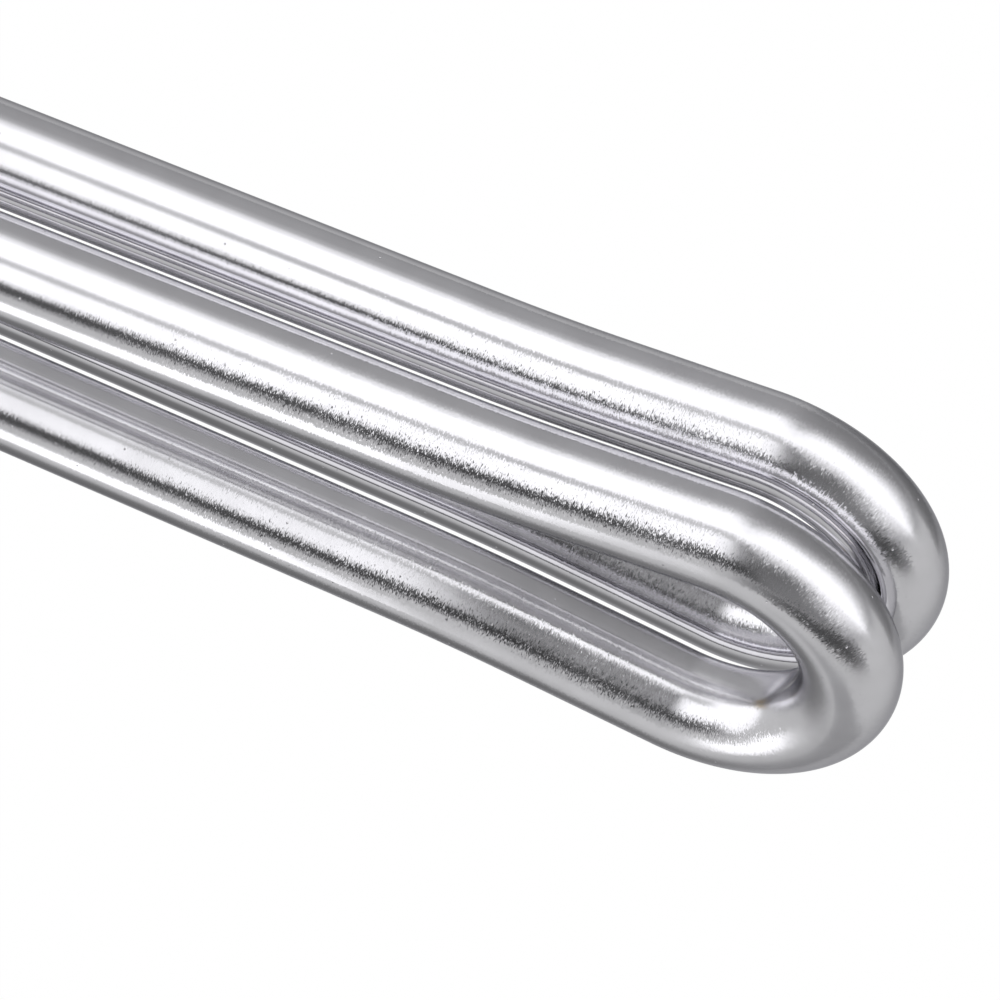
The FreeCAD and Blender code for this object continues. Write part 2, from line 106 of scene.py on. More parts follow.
class Nodes:
    """Short calls for building a material's node tree."""

    def __init__(self, tree):
        self.tree = tree
        self.tree.nodes.clear()

    def add(self, kind, **settings):
        """A new node with its settings."""
        node = self.tree.nodes.new(kind)
        for name, value in settings.items():
            setattr(node, name, value)
        return node

    def link(self, source, target):
        self.tree.links.new(source, target)

    def put(self, socket, value):
        """Links a socket, or sets its value."""
        if isinstance(value, bpy.types.NodeSocket):
            self.link(value, socket)
        else:
            socket.default_value = value

    def fill(self, node, values):
        """Puts values on a node's first sockets, in their order."""
        for socket, value in zip(node.inputs, values):
            self.put(socket, value)
        return node

    def maths(self, operation, *values, clamp=False):
        node = self.add("ShaderNodeMath", operation=operation, use_clamp=clamp)
        return self.fill(node, values).outputs[0]

    def chain(self, operation, first, *others):
        """One operation from value to value, from left to right."""
        for other in others:
            first = self.maths(operation, first, other)
        return first

    def product(self, *values):
        return self.chain("MULTIPLY", *values)

    def total(self, *values):
        return self.chain("ADD", *values)

    def vector(self, operation, *values):
        node = self.add("ShaderNodeVectorMath", operation=operation)
        return self.fill(node, values).outputs["Vector"]

    def measure(self, operation, *values):
        """LENGTH of a vector, or DISTANCE between two."""
        node = self.add("ShaderNodeVectorMath", operation=operation)
        return self.fill(node, values).outputs["Value"]

    def scaled(self, vector, factor):
        node = self.add("ShaderNodeVectorMath", operation="SCALE")
        self.put(node.inputs[0], vector)
        self.put(node.inputs["Scale"], factor)
        return node.outputs["Vector"]

    def parts(self, vector):
        """X, Y and Z of a vector."""
        node = self.fill(self.add("ShaderNodeSeparateXYZ"), (vector,))
        return node.outputs["X"], node.outputs["Y"], node.outputs["Z"]

    def joined(self, x=0.0, y=0.0, z=0.0):
        """A vector from its X, Y and Z."""
        return self.fill(self.add("ShaderNodeCombineXYZ"), (x, y, z)).outputs["Vector"]

    def stretch(self, vector, scale):
        """A vector scaled by three factors."""
        node = self.add("ShaderNodeMapping")
        self.put(node.inputs["Vector"], vector)
        node.inputs["Scale"].default_value = scale
        return node.outputs["Vector"]

    def noise(self, vector, scale=1.0, detail=2.0, roughness=0.5):
        node = self.add("ShaderNodeTexNoise")
        self.put(node.inputs["Vector"], vector)
        node.inputs["Scale"].default_value = scale
        node.inputs["Detail"].default_value = detail
        node.inputs["Roughness"].default_value = roughness
        return node.outputs["Fac"]

    def remap(self, value, low, high, out_low=0.0, out_high=1.0, kind="LINEAR"):
        node = self.add("ShaderNodeMapRange", interpolation_type=kind)
        self.put(node.inputs["Value"], value)
        node.inputs["From Min"].default_value = low
        node.inputs["From Max"].default_value = high
        node.inputs["To Min"].default_value = out_low
        node.inputs["To Max"].default_value = out_high
        return node.outputs["Result"]

    def ease(self, value, *ends):
        """A remap that starts and ends gently."""
        return self.remap(value, *ends, kind="SMOOTHSTEP")

    def mix(self, factor, first, second):
        node = self.add("ShaderNodeMix", data_type="RGBA")
        self.put(node.inputs["Factor"], factor)
        self.put(node.inputs["A"], first)
        self.put(node.inputs["B"], second)
        return node.outputs["Result"]

    def ramp(self, value, stops):
        """Colours by a value: stops are (value, colour) pairs."""
        node = self.add("ShaderNodeValToRGB")
        self.put(node.inputs["Fac"], value)
        node.color_ramp.interpolation = "EASE"
        elements = node.color_ramp.elements
        while len(elements) < len(stops):
            elements.new(0.5)
        for element, (position, color) in zip(elements, sorted(stops)):
            element.position = position
            element.color = color
        return node.outputs["Color"]

    def bump(self, height, distance, strength=1.0, normal=None):
        node = self.add("ShaderNodeBump")
        node.inputs["Strength"].default_value = strength
        node.inputs["Distance"].default_value = distance
        self.put(node.inputs["Height"], height)
        if normal is not None:
            self.link(normal, node.inputs["Normal"])
        return node.outputs["Normal"]


def grey(level, warmth=0.0):
    """A colour near grey: a positive warmth is warmer, a negative one cooler."""
    return (level * (1 + warmth), level, level * (1 - warmth), 1.0)


def new_material(name, **sockets):
    """A material with one Principled shader; returns it, its nodes and the shader."""
    material = bpy.data.materials.new(name)
    material.use_nodes = True
    nodes = Nodes(material.node_tree)
    shader = nodes.add("ShaderNodeBsdfPrincipled")
    output = nodes.add("ShaderNodeOutputMaterial")
    nodes.link(shader.outputs["BSDF"], output.inputs["Surface"])
    for key, value in sockets.items():
        nodes.put(shader.inputs[key.replace("_", " ")], value)
    return material, nodes, shader


def object_place(nodes):
    """Place on the piece in millimetres."""
    coordinates = nodes.add("ShaderNodeTexCoord")
    return nodes.scaled(coordinates.outputs["Object"], 1 / MM)


# Where most values of a noise lie, in grain and in clouds
GRAIN_SPAN = (0.3, 0.7)
CLOUD_SPAN = (0.35, 0.7)
TURNED_CLOUD_SPAN = (0.35, 0.68)
MATT_CLOUD_SPAN = (0.35, 0.65)
MATT_CLOUD_SCALE = 0.12

# Finish of the tubes
TUBE_COLOR = (0.892, 0.886, 0.912, 1.0)
TUBE_DULL = (0.818, 0.812, 0.836, 1.0)
TUBE_EDGE_TINT = (0.36, 0.36, 0.375, 1.0)
TUBE_ANISOTROPY = 0.4
# Scales of the noises along the tube, outwards and aside
PATCHES = (0.10, 0.25, 0.25)
MARKS = (8.0, 2.2, 2.2)
STROKES = (12.0, 3.5, 3.5)
NICKS = (0.13, 0.11, 0.11)
DULL_CLOUDS = 0.25
NICK_DEPTH = 0.06
# Ranges, each as two values and the level at either one. Values are millimetres from the middle of
# the bend along the tube, millimetres from its axis outwards or aside, or those of a noise. Only
# SOONER_BEHIND has millimetres across the element, and REACHED_SIDES the share by which a side
# faces away from the other hairpin.
BRUSHED_OFF_MIDDLE = (0.8, 2.0, 0.3, 1.0)
BRUSHED_TO_FRONT = (-1.6, -2.8, 0.3, 1.0)
BRUSHED_ALONG = (12.0, 24.0, 0.8, 1.0)
WORKED_ALONG = (38.0, 80.0, 1.0, 0.16)
WORKED_IN_PATCHES = (0.35, 0.65, 0.6, 1.1)
SOONER_BEHIND = (-1.0, 1.0, 1.0, 1.4)
REACHED_SIDES = (-0.84, -0.96, 1.0, 0.3)
FINE_LEAN = (0.2, 0.8, -0.045, 0.045)
DEEP_LEAN_FORTH = (0.56, 0.80, 0.0, 0.30)
DEEP_LEAN_BACK = (0.44, 0.20, 0.0, -0.30)
ROUGH_IN_MARKS = (0.3, 0.7, 0.05, 0.10)
ROUGH_ROUND_BEND = (12.0, 36.0, 0.14, 0.08)
ROUGH_FAR_BACK = (40.0, 78.0, 0.0, 0.09)
NICK_EDGE = (0.02, 0.055, 1.0, 0.0)


def brushed_share(nodes, from_bend, outwards, aside):
    """Where the strokes are: in front, above and below the tube's middle, and weaker round the bend."""
    return nodes.product(
        nodes.ease(nodes.maths("ABSOLUTE", outwards), *BRUSHED_OFF_MIDDLE),
        nodes.ease(aside, *BRUSHED_TO_FRONT),
        nodes.ease(from_bend, *BRUSHED_ALONG),
    )


def worked_share(nodes, place, from_bend, across):
    """Where the tube is worked: near the bend, less far along on the back hairpin, and in patches."""
    far = nodes.product(from_bend, nodes.remap(across, *SOONER_BEHIND))
    patches = nodes.noise(nodes.stretch(place, PATCHES))
    return nodes.product(nodes.ease(far, *WORKED_ALONG), nodes.remap(patches, *WORKED_IN_PATCHES))


def bright_tube():
    """Bright drawn stainless tube, brushed across in fine strokes near the bend and softer at the back."""
    material, nodes, shader = new_material(
        "bright_tube", Metallic=1.0, Anisotropic=TUBE_ANISOTROPY, Specular_Tint=TUBE_EDGE_TINT
    )
    place = nodes.add("ShaderNodeAttribute", attribute_name="rod_place").outputs["Vector"]
    tangent = nodes.add("ShaderNodeTangent", direction_type="UV_MAP", uv_map="rod_uv").outputs["Tangent"]
    normal = nodes.add("ShaderNodeNewGeometry").outputs["Normal"]
    along, outwards, aside = nodes.parts(place)
    from_bend = nodes.maths("ABSOLUTE", along)
    across = nodes.parts(object_place(nodes))[1]
    worked = worked_share(nodes, place, from_bend, across)

    # no brush reaches the sides that face the other hairpin, so they stay smoother
    facing = nodes.product(nodes.maths("SIGN", across), nodes.parts(normal)[1])
    reached = nodes.ease(facing, *REACHED_SIDES)

    # strokes lean the surface round the tube: narrow along it and longer round it, a few of them deep
    marks = nodes.noise(nodes.stretch(place, MARKS), roughness=0.6)
    strokes = nodes.noise(nodes.stretch(place, STROKES), detail=1.0)
    lean = nodes.total(
        nodes.remap(strokes, *DEEP_LEAN_FORTH),
        nodes.remap(strokes, *DEEP_LEAN_BACK),
        nodes.remap(marks, *FINE_LEAN),
    )
    lean = nodes.product(lean, brushed_share(nodes, from_bend, outwards, aside), worked, reached)
    around = nodes.vector("CROSS_PRODUCT", normal, tangent)
    leaned = nodes.vector("NORMALIZE", nodes.vector("ADD", normal, nodes.scaled(around, lean)))

    cells = nodes.add("ShaderNodeTexVoronoi", feature="F1")
    nodes.link(nodes.stretch(place, NICKS), cells.inputs["Vector"])
    nick = nodes.remap(cells.outputs["Distance"], *NICK_EDGE)
    nodes.put(shader.inputs["Normal"], nodes.bump(nick, -NICK_DEPTH * MM, normal=leaned))

    clouds = nodes.remap(nodes.noise(place, DULL_CLOUDS, detail=3.0), *CLOUD_SPAN)
    nodes.put(shader.inputs["Base Color"], nodes.mix(clouds, TUBE_COLOR, TUBE_DULL))
    rough = nodes.total(
        nodes.product(worked, nodes.remap(marks, *ROUGH_IN_MARKS)),
        nodes.ease(from_bend, *ROUGH_ROUND_BEND),
        nodes.ease(from_bend, *ROUGH_FAR_BACK),
    )
    nodes.put(shader.inputs["Roughness"], nodes.product(rough, reached))
    nodes.put(shader.inputs["Tangent"], tangent)
    return material


def turned_metal(name, light, dark, roughness, rings_per_mm):
    """Turned metal: fine rings round the plug's axis and a slight cloudiness."""
    material, nodes, shader = new_material(name, Metallic=1.0)
    place = object_place(nodes)
    x, y, z = nodes.parts(place)
    radius = nodes.measure("LENGTH", nodes.joined(y=y, z=z))
    lathe = nodes.joined(x=nodes.total(x, radius))
    rings = nodes.noise(nodes.scaled(lathe, rings_per_mm))
    cloud = nodes.noise(place, scale=0.22, detail=4.0)
    nodes.put(shader.inputs["Base Color"], nodes.mix(nodes.remap(cloud, *TURNED_CLOUD_SPAN), light, dark))
    spread = nodes.total(
        nodes.remap(rings, *GRAIN_SPAN, -0.05, 0.06),
        nodes.remap(cloud, *GRAIN_SPAN, -0.04, 0.05),
    )
    nodes.put(shader.inputs["Roughness"], nodes.maths("ADD", spread, roughness, clamp=True))
    nodes.put(shader.inputs["Normal"], nodes.bump(rings, 0.02 * MM, strength=0.6))
    return material


def plain_metal(name, light, dark, roughness, grain=(1.0, 6.0, 6.0)):
    """Plated or brazed metal with a faint drawn grain."""
    material, nodes, shader = new_material(name, Metallic=1.0)
    place = object_place(nodes)
    streaks = nodes.noise(nodes.stretch(place, grain), detail=3.0)
    cloud = nodes.noise(place, scale=0.7, detail=3.0)
    spread = nodes.remap(streaks, *GRAIN_SPAN, roughness - 0.06, roughness + 0.08)
    nodes.put(shader.inputs["Base Color"], nodes.mix(nodes.remap(cloud, *CLOUD_SPAN), light, dark))
    nodes.put(shader.inputs["Roughness"], spread)
    nodes.put(shader.inputs["Normal"], nodes.bump(streaks, 0.004 * MM, strength=0.3))
    return material


def matt(name, light, dark, roughness, scale, depth, fibres=(1.0, 1.0, 1.0)):
    """Unpolished, non-metallic stuff: ceramic, magnesia, silicone or fibre sheet."""
    material, nodes, shader = new_material(name)
    place = nodes.stretch(object_place(nodes), fibres)
    grain = nodes.noise(place, scale, detail=4.0, roughness=0.6)
    cloud = nodes.noise(place, scale * MATT_CLOUD_SCALE, detail=3.0)
    blend = nodes.total(
        nodes.remap(grain, *GRAIN_SPAN, 0.0, 0.6),
        nodes.remap(cloud, *MATT_CLOUD_SPAN, 0.0, 0.4),
    )
    spread = nodes.remap(grain, *GRAIN_SPAN, roughness - 0.08, roughness + 0.08)
    nodes.put(shader.inputs["Base Color"], nodes.mix(blend, light, dark))
    nodes.put(shader.inputs["Roughness"], spread)
    nodes.put(shader.inputs["Normal"], nodes.bump(grain, depth * MM, strength=0.7))
    return material


# Tubes

def from_mesh(name, mesh):
    """A new object from a bmesh."""
    data = bpy.data.meshes.new(name)
    mesh.normal_update()
    mesh.to_mesh(data)
    mesh.free()
    piece = bpy.data.objects.new(name, data)
    bpy.context.scene.collection.objects.link(piece)
    return piece


def arc_stations(start, heading, radius, turn, count):
    """Stations along an arc that turns the heading by an angle, in the plane of the hairpin."""
    side = 1 if turn > 0 else -1
    centre_x = start[0] - side * radius * math.sin(heading)
    centre_z = start[1] + side * radius * math.cos(heading)
    stations = []
    for step in range(1, count + 1):
        angle = heading + turn * step / count
        x = centre_x + side * radius * math.sin(angle)
        z = centre_z - side * radius * math.cos(angle)
        stations.append((x, z, angle))
    return stations


def line_stations(start, heading, length, count):
    """Stations along a straight length."""
    stations = []
    for step in range(1, count + 1):
        x = start[0] + math.cos(heading) * length * step / count
        z = start[1] + math.sin(heading) * length * step / count
        stations.append((x, z, heading))
    return stations


# Stations on each stretch of a tube
CROWN_STEPS = 56
NECK_STEPS = 12
RUN_STEPS = 6
TAPER_STEPS = 40
REAR_STEPS = 16


def half_hairpin():
    """Stations (x, z, heading) from the outermost point of the bend up over it and back to the mouth."""
    crown_centre = TIP - TUBE_RADIUS - BEND_RADIUS
    stations = [(crown_centre + BEND_RADIUS, 0.0, math.pi / 2)]

    def go(maker, *how):
        x, z, heading = stations[-1]
        stations.extend(maker((x, z), heading, *how))

    go(arc_stations, BEND_RADIUS, math.pi / 2 + SHOULDER_LEAN, CROWN_STEPS)
    go(line_stations, SHOULDER_RUN, RUN_STEPS)
    x, z, heading = stations[-1]
    front_centre = Vector((
        x - NECK_RADIUS * math.sin(SHOULDER_LEAN),
        z + NECK_RADIUS * math.cos(SHOULDER_LEAN),
    ))
    rear_centre = Vector((STRAIGHT_RUN, LEG_HEIGHT + NECK_RADIUS))
    between = front_centre - rear_centre
    taper = math.atan2(between.y, between.x)
    go(arc_stations, NECK_RADIUS, taper - SHOULDER_LEAN, NECK_STEPS)
    go(line_stations, between.length, TAPER_STEPS)
    go(arc_stations, NECK_RADIUS, -taper, NECK_STEPS)
    go(line_stations, STRAIGHT_RUN - MOUTH, REAR_STEPS)
    return stations


def whole_hairpin():
    """Stations with their distance along the tube from the middle of the bend, negative on the lower leg."""
    upper = half_hairpin()
    lower = [(x, -z, math.pi - heading) for x, z, heading in reversed(upper)][:-1]
    stations = []
    distance = 0.0
    for x, z, heading in lower + upper:
        if stations:
            distance += math.dist((x, z), stations[-1][:2])
        stations.append((x, z, heading, distance))
    half = distance / 2
    return [(x, z, heading, distance - half) for x, z, heading, distance in stations]


def tube_point(station, along_y, outwards, aside):
    """Point of a tube at one station, from the tube's axis outwards in the hairpin's plane and aside."""
    x, z, heading, _ = station
    place = (
        x - outwards * math.sin(heading),
        along_y + aside,
        z + outwards * math.cos(heading),
    )
    return Vector(place) * MM


def tube(name, along_y, sides=112):
    """One bent tube, open at both mouths, with its place along and round it kept for the finish."""
    stations = whole_hairpin()
    mesh = bmesh.new()
    rod = mesh.verts.layers.float_vector.new("rod_place")
    uv = mesh.loops.layers.uv.new("rod_uv")

    def skin(radius):
        """Rings of points round the tube, one ring a station."""
        rings = []
        for station in stations:
            ring = []
            for step in range(sides):
                angle = 2 * math.pi * step / sides
                outwards = radius * math.cos(angle)
                aside = radius * math.sin(angle)
                vertex = mesh.verts.new(tube_point(station, along_y, outwards, aside))
                vertex[rod] = (station[3], outwards, aside)
                ring.append(vertex)
            rings.append(ring)
        return rings

    outside = skin(TUBE_RADIUS)
    bore = skin(TUBE_RADIUS - TUBE_WALL)
    for rings, flip in ((outside, True), (bore, False)):
        for row in range(len(rings) - 1):
            for step in range(sides):
                corners = [(row, step), (row, step + 1), (row + 1, step + 1), (row + 1, step)]
                if flip:
                    corners.reverse()
                face = mesh.faces.new([rings[along][round_it % sides] for along, round_it in corners])
                face.smooth = True
                for loop, (along, round_it) in zip(face.loops, corners):
                    loop[uv].uv = (stations[along][3], round_it * 2 * math.pi * TUBE_RADIUS / sides)
    for row, flip in ((0, False), (-1, True)):
        for step in range(sides):
            after = (step + 1) % sides
            corners = [outside[row][step], outside[row][after], bore[row][after], bore[row][step]]
            if flip:
                corners.reverse()
            mesh.faces.new(corners)
    return from_mesh(name, mesh)


def dress(piece, material):
    """Gives a piece one material, in place of what it has."""
    piece.data.materials.clear()
    piece.data.materials.append(material)


tube_material = bright_tube()
for hairpin in HAIRPINS:
    piece = tube(f"bright_tube_{hairpin}", middle(f"sheath_{hairpin}", 1))
    dress(piece, tube_material)
    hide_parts(f"sheath_{hairpin}")
    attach(piece, "root")


# Plug

def turned(name, outline, sides=256, centre=(0.0, 0.0)):
    """Solid of revolution about a line along X: outline is its (x, radius) points, with the axis left out."""
    mesh = bmesh.new()
    rings = []
    for x, radius in outline:
        ring = []
        for step in range(sides):
            angle = 2 * math.pi * step / sides
            place = (x, centre[0] + radius * math.cos(angle), centre[1] + radius * math.sin(angle))
            ring.append(mesh.verts.new(Vector(place) * MM))
        rings.append(ring)
    for first, second in zip(rings, rings[1:]):
        for step in range(sides):
            after = (step + 1) % sides
            mesh.faces.new((first[after], first[step], second[step], second[after]))
    mesh.faces.new(rings[0])
    mesh.faces.new(reversed(rings[-1]))
    bmesh.ops.recalc_face_normals(mesh, faces=mesh.faces)
    return from_mesh(name, mesh)


def hexagon_bar(name, start, end):
    """Hexagonal bar with flats above and below and slightly broken corners."""
    mesh = bmesh.new()
    corner_radius = ACROSS_FLATS / 2 / math.cos(math.pi / 6)
    outline = []
    for corner in range(6):
        here, before, after = (
            Vector((math.cos(math.pi / 3 * turn), math.sin(math.pi / 3 * turn))) * corner_radius
            for turn in (corner, corner - 1, corner + 1)
        )
        outline.append(here + (before - here).normalized() * HEX_CORNER)
        outline.append(here + (after - here).normalized() * HEX_CORNER)
    ends = [[mesh.verts.new(Vector((x, y, z)) * MM) for y, z in outline] for x in (start, end)]
    for step in range(len(outline)):
        after = (step + 1) % len(outline)
        mesh.faces.new((ends[0][after], ends[0][step], ends[1][step], ends[1][after]))
    mesh.faces.new(ends[0])
    mesh.faces.new(reversed(ends[1]))
    bmesh.ops.recalc_face_normals(mesh, faces=mesh.faces)
    return from_mesh(name, mesh)


def thread_outline(arc_steps=3):
    """One pitch of a 55 degree thread with rounded crest and root, as (share of the pitch, radius)."""
    crest = THREAD_RADIUS - THREAD_ROUNDING
    root = THREAD_RADIUS - THREAD_DEPTH + THREAD_ROUNDING
    reach = math.pi / 2 - THREAD_ANGLE
    outline = []
    for middle_share, centre, side in ((0.0, crest, 1), (0.5, root, -1)):
        for step in range(-arc_steps, arc_steps + 1):
            angle = reach * step / arc_steps
            share = middle_share + THREAD_ROUNDING * math.sin(angle) / THREAD_PITCH
            outline.append((share, centre + side * THREAD_ROUNDING * math.cos(angle)))
    return outline


def threaded_rod(name, start, end, sides=128):
    """Closed rod with a right-hand thread: each point of the thread's outline runs along its own helix."""
    mesh = bmesh.new()
    outline = thread_outline()
    turns = math.ceil((end - start) / THREAD_PITCH)
    helices = []
    for index, (share, radius) in enumerate(outline):
        steps = (turns + (1 if index == 0 else 0)) * sides
        helix = []
        for step in range(steps + 1):
            angle = 2 * math.pi * step / sides
            x = start + THREAD_PITCH * (step / sides + share)
            place = (x, radius * math.cos(angle), radius * math.sin(angle))
            helix.append(mesh.verts.new(Vector(place) * MM))
        helices.append(helix)
    for index, helix in enumerate(helices):
        last = index == len(helices) - 1
        other = helices[0][sides:] if last else helices[index + 1]
        for step in range(turns * sides):
            mesh.faces.new((helix[step + 1], helix[step], other[step], other[step + 1]))
    for at, middle_x in ((0, start), (turns * sides, start + THREAD_PITCH * turns)):
        rim = list(helices[0][at:at + sides + 1]) + [helix[at] for helix in reversed(helices[1:])]
        hub = mesh.verts.new(Vector((middle_x, 0, 0)) * MM)
        for first, second in zip(rim, rim[1:] + rim[:1]):
            mesh.faces.new((first, second, hub))
    bmesh.ops.recalc_face_normals(mesh, faces=mesh.faces)
    return from_mesh(name, mesh)


def combine(piece, tool, operation):
    """Joins, cuts or intersects a piece with a tool, and removes the tool."""
    modifier = piece.modifiers.new(operation, "BOOLEAN")
    modifier.operation = operation
    modifier.object = tool
    modifier.solver = "EXACT"
    bpy.context.view_layer.update()
    evaluated = piece.evaluated_get(bpy.context.evaluated_depsgraph_get())
    result = bpy.data.meshes.new_from_object(evaluated)
    piece.modifiers.clear()
    piece.data = result
    bpy.data.objects.remove(tool)


def bore_from_behind(piece, node, radius, end, sides):
    """Bores a hole on the line of a node, from behind the head to a place along X."""
    centre = (middle(node, 1), middle(node, 2))
    drill = turned("drill", ((REAR - TOOL_OVERRUN, radius), (end, radius)), sides, centre)
    combine(piece, drill, "DIFFERENCE")


def plug_outline():
    """Crowned head, washer face, relief, a blank a little over the thread, and the nose."""
    head_front = SHOULDER - FACE_HEIGHT
    beyond = ACROSS_FLATS
    crown = (beyond - CROWN_RADIUS) * CROWN_SLOPE
    thread_start = SHOULDER + RELIEF_WIDTH
    blank_radius = THREAD_RADIUS + THREAD_OVERRUN
    return (
        (REAR, CROWN_RADIUS),
        (REAR + crown, beyond),
        (head_front - crown, beyond),
        (head_front, CROWN_RADIUS),
        (head_front, FACE_RADIUS),
        (SHOULDER - BROKEN_EDGE, FACE_RADIUS),
        (SHOULDER, FACE_RADIUS - BROKEN_EDGE),
        (SHOULDER, RELIEF_RADIUS + BROKEN_EDGE),
        (SHOULDER + BROKEN_EDGE, RELIEF_RADIUS),
        (thread_start, RELIEF_RADIUS),
        (thread_start + blank_radius - RELIEF_RADIUS, blank_radius),
        (NOSE - NOSE_CHAMFER - THREAD_OVERRUN, blank_radius),
        (NOSE - BROKEN_EDGE, THREAD_RADIUS - NOSE_CHAMFER + BROKEN_EDGE),
        (NOSE, THREAD_RADIUS - NOSE_CHAMFER - BROKEN_EDGE),
    )


def threaded_plug():
    """Hexagonal plug turned from threaded bar, with four leg holes and the hole of the earth screw."""
    blank = turned("threaded_plug", plug_outline())
    body = hexagon_bar("hexagon", REAR - TOOL_OVERRUN, SHOULDER + TOOL_OVERRUN)
    thread = threaded_rod("thread", SHOULDER - TOOL_OVERRUN - THREAD_PITCH, NOSE + THREAD_PITCH)
    combine(body, thread, "UNION")
    combine(blank, body, "INTERSECT")
    for leg in LEGS:
        radius = TUBE_RADIUS + BORE_CLEARANCE
        bore_from_behind(blank, f"bead_{leg}", radius, NOSE + TOOL_OVERRUN, BORE_SIDES)
    bore_from_behind(blank, "earth_screw", EARTH_RADIUS, REAR + EARTH_HOLE_DEPTH, EARTH_SIDES)
    for polygon in blank.data.polygons:
        polygon.use_smooth = True
    blank.data.set_sharp_from_angle(angle=SHARP_ABOVE)
    return blank


# Light and dark shade of each stuff
BRASS = (0.80, 0.62, 0.33, 1.0), (0.70, 0.52, 0.26, 1.0)
FIBRE_SHEET = (0.24, 0.30, 0.27, 1.0), (0.17, 0.21, 0.20, 1.0)
MAGNESIA = grey(0.82, 0.03), grey(0.74, 0.04)
RESISTANCE_WIRE = grey(0.35, 0.05), grey(0.25, 0.05)
SILVER_BRAZE = (0.82, 0.78, 0.66, 1.0), (0.70, 0.64, 0.50, 1.0)
SILICONE = (0.50, 0.20, 0.15, 1.0), (0.42, 0.16, 0.12, 1.0)
STEATITE = (0.80, 0.76, 0.67, 1.0), (0.72, 0.67, 0.57, 1.0)
PLATED_PIN = grey(0.62, 0.02), grey(0.52, 0.03)
PLATED_TAB = grey(0.68, 0.02), grey(0.60, 0.03)
ZINC = (0.66, 0.67, 0.68, 1.0), (0.56, 0.57, 0.60, 1.0)

# Finishes of the pieces that keep their shape from the frame, by the start of their names
FINISHES = {
    "screw_plug": turned_metal("plug_brass", *BRASS, roughness=0.24, rings_per_mm=14.0),
    "gasket": matt(
        "gasket_fibre", *FIBRE_SHEET, roughness=0.8, scale=2.2, depth=0.05, fibres=(4.0, 1.0, 1.0)
    ),
    "magnesia": matt("magnesia", *MAGNESIA, roughness=0.9, scale=3.0, depth=0.02),
    "heating_coil": plain_metal("resistance_wire", *RESISTANCE_WIRE, roughness=0.45),
    "braze_fillet": plain_metal("silver_braze", *SILVER_BRAZE, roughness=0.3, grain=(2.0, 2.0, 2.0)),
    "end_seal": matt("silicone_seal", *SILICONE, roughness=0.6, scale=1.5, depth=0.01),
    "bead": matt("steatite_bead", *STEATITE, roughness=0.5, scale=2.5, depth=0.008),
    "cold_pin": plain_metal("plated_pin", *PLATED_PIN, roughness=0.28),
    "tab": plain_metal("plated_tab", *PLATED_TAB, roughness=0.26, grain=(1.5, 8.0, 8.0)),
    "earth": plain_metal("zinc_screw", *ZINC, roughness=0.3, grain=(3.0, 3.0, 3.0)),
}
for name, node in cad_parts.items():
    for start, material in FINISHES.items():
        if name.startswith(start):
            dress(node, material)

plug = threaded_plug()
dress(plug, FINISHES["screw_plug"])
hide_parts("screw_plug")
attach(plug, "root")


# Studio

# Floor: a painted pool of white light behind the element, a spot of painted shade below its legs and a darker
# floor round both
FLOOR_DEPTH_M = 0.30
FLOOR_RADIUS_M = 10.0
# Painted light: the pool is a whiter spot in the floor's colour that falls off to FAR_FLOOR round it
LIGHT_POOL_CENTRE_M = (0.11, 0.20)
LIGHT_POOL_EDGE_M = (0.08, 0.30)
# Painted shade: a dark spot in the floor's colour below the legs stands in for their shadow, and the tubes'
# undersides mirror it
SHADE_CENTRE_M = (0.07, -0.07)
SHADE_EDGE_M = (0.05, 0.17)
FAR_FLOOR = 0.56
SHADED_FLOOR = 0.22
LIGHT_POOL_WHITE_SHARE = 0.996
FAR_WHITE_SHARE = 0.85


def floor():
    """Floor well below the element, clear from below, that takes the shadow but shows little of it."""
    mesh = bmesh.new()
    bmesh.ops.create_circle(mesh, cap_ends=True, segments=96, radius=FLOOR_RADIUS_M)
    piece = from_mesh("floor", mesh)
    piece.location = (0, 0, -FLOOR_DEPTH_M)
    material = bpy.data.materials.new("floor")
    material.use_nodes = True
    nodes = Nodes(material.node_tree)
    output = nodes.add("ShaderNodeOutputMaterial")
    place = nodes.add("ShaderNodeTexCoord").outputs["Object"]

    def spot(centre, edge, inside, outside):
        """One level inside a round spot and another outside it."""
        away = nodes.measure("DISTANCE", place, (*centre, 0))
        return nodes.ease(away, *edge, inside, outside)

    def either(share, first, second):
        """The first shader, and the second by its share."""
        node = nodes.add("ShaderNodeMixShader")
        return nodes.fill(node, (share, first, second)).outputs[0]

    # Painted light: the floor's colour is white in a pool behind the element and fades to the far floor's
    # grey
    light_pool = spot(LIGHT_POOL_CENTRE_M, LIGHT_POOL_EDGE_M, 1.0, FAR_FLOOR)
    # Painted shade below the legs, multiplied into the floor's level
    shade = spot(SHADE_CENTRE_M, SHADE_EDGE_M, SHADED_FLOOR / FAR_FLOOR, 1.0)
    level = nodes.product(light_pool, shade)
    diffuse = nodes.add("ShaderNodeBsdfDiffuse")
    nodes.put(diffuse.inputs["Color"], level)
    glow = nodes.add("ShaderNodeEmission")
    nodes.put(glow.inputs["Color"], level)
    rays = nodes.add("ShaderNodeLightPath").outputs
    seen = nodes.chain(
        "MAXIMUM", rays["Is Camera Ray"], rays["Is Glossy Ray"], rays["Is Transmission Ray"]
    )
    share = nodes.product(seen, spot(LIGHT_POOL_CENTRE_M, LIGHT_POOL_EDGE_M, LIGHT_POOL_WHITE_SHARE, FAR_WHITE_SHARE))
    top = either(share, diffuse.outputs[0], glow.outputs[0])
    from_below = nodes.add("ShaderNodeNewGeometry").outputs["Backfacing"]
    clear = nodes.add("ShaderNodeBsdfTransparent")
    nodes.link(either(from_below, top, clear.outputs[0]), output.inputs["Surface"])
    dress(piece, material)


